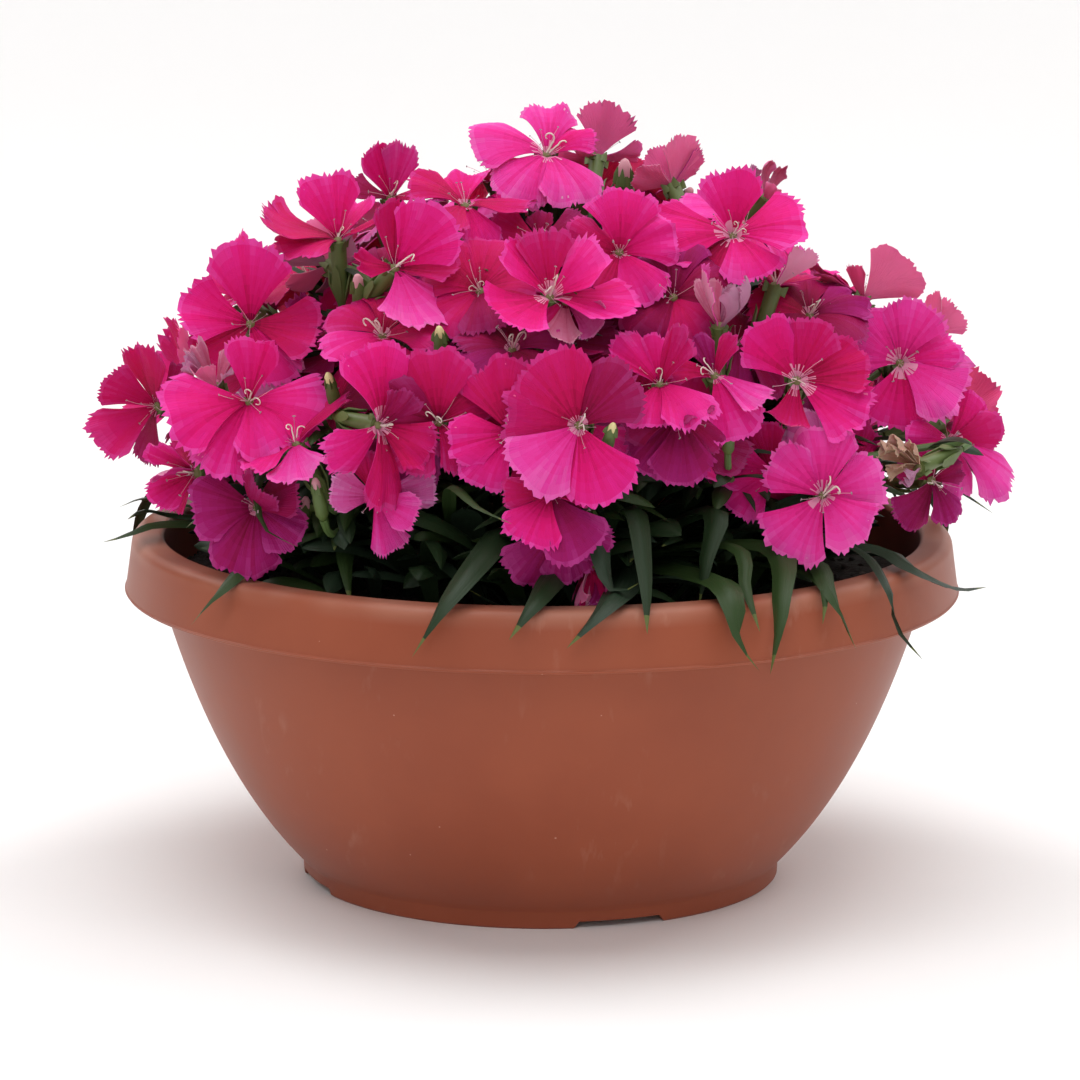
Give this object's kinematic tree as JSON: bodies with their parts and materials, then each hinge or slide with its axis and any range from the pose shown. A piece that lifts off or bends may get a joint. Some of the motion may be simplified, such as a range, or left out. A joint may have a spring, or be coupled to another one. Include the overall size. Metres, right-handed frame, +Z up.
{
  "type": "potted dianthus",
  "caption": "Garden pink in a wide round plastic bowl: a dome of toothed five-petalled blooms on thin stems, with narrow leaves that hang over the rim.",
  "frame": {"origin": "middle of the pot's flat underside, on the surface that it stands on", "axes": "+Z up along the pot's axis, -Y towards the viewer of the picture's front, +X to its right"},
  "size_m": [0.2538, 0.235, 0.2145],
  "materials": {
    "terracotta_plastic": "satin",
    "compost": "matte",
    "woody_stem": "matte",
    "green_stem": "matte",
    "pink_bloom": "matte",
    "dark_leaf": "satin"
  },
  "bodies": {
    "root": {"pot": "terracotta_plastic", "compost": "compost", "crown_stem": "woody_stem", "stem_top": "green_stem", "stem_upper_front": "green_stem", "stem_upper_right": "green_stem", "stem_upper_back": "green_stem", "stem_upper_left": "green_stem", "stem_low_front": "green_stem", "stem_low_front_right": "green_stem", "stem_low_right": "green_stem", "stem_low_back_right": "green_stem", "stem_low_back": "green_stem", "stem_low_back_left": "green_stem", "stem_low_left": "green_stem", "stem_low_front_left": "green_stem", "blooms_top": "pink_bloom", "blooms_upper_front": "pink_bloom", "blooms_upper_right": "pink_bloom", "blooms_upper_back": "pink_bloom", "blooms_upper_left": "pink_bloom", "blooms_low_front": "pink_bloom", "blooms_low_front_right": "pink_bloom", "blooms_low_right": "pink_bloom", "blooms_low_back_right": "pink_bloom", "blooms_low_back": "pink_bloom", "blooms_low_back_left": "pink_bloom", "blooms_low_left": "pink_bloom", "blooms_low_front_left": "pink_bloom", "leaves_1": "dark_leaf", "leaves_2": "dark_leaf", "leaves_3": "dark_leaf", "leaves_4": "dark_leaf", "leaves_5": "dark_leaf", "leaves_6": "dark_leaf", "leaves_7": "dark_leaf", "leaves_8": "dark_leaf"}
  },
  "joints": []
}
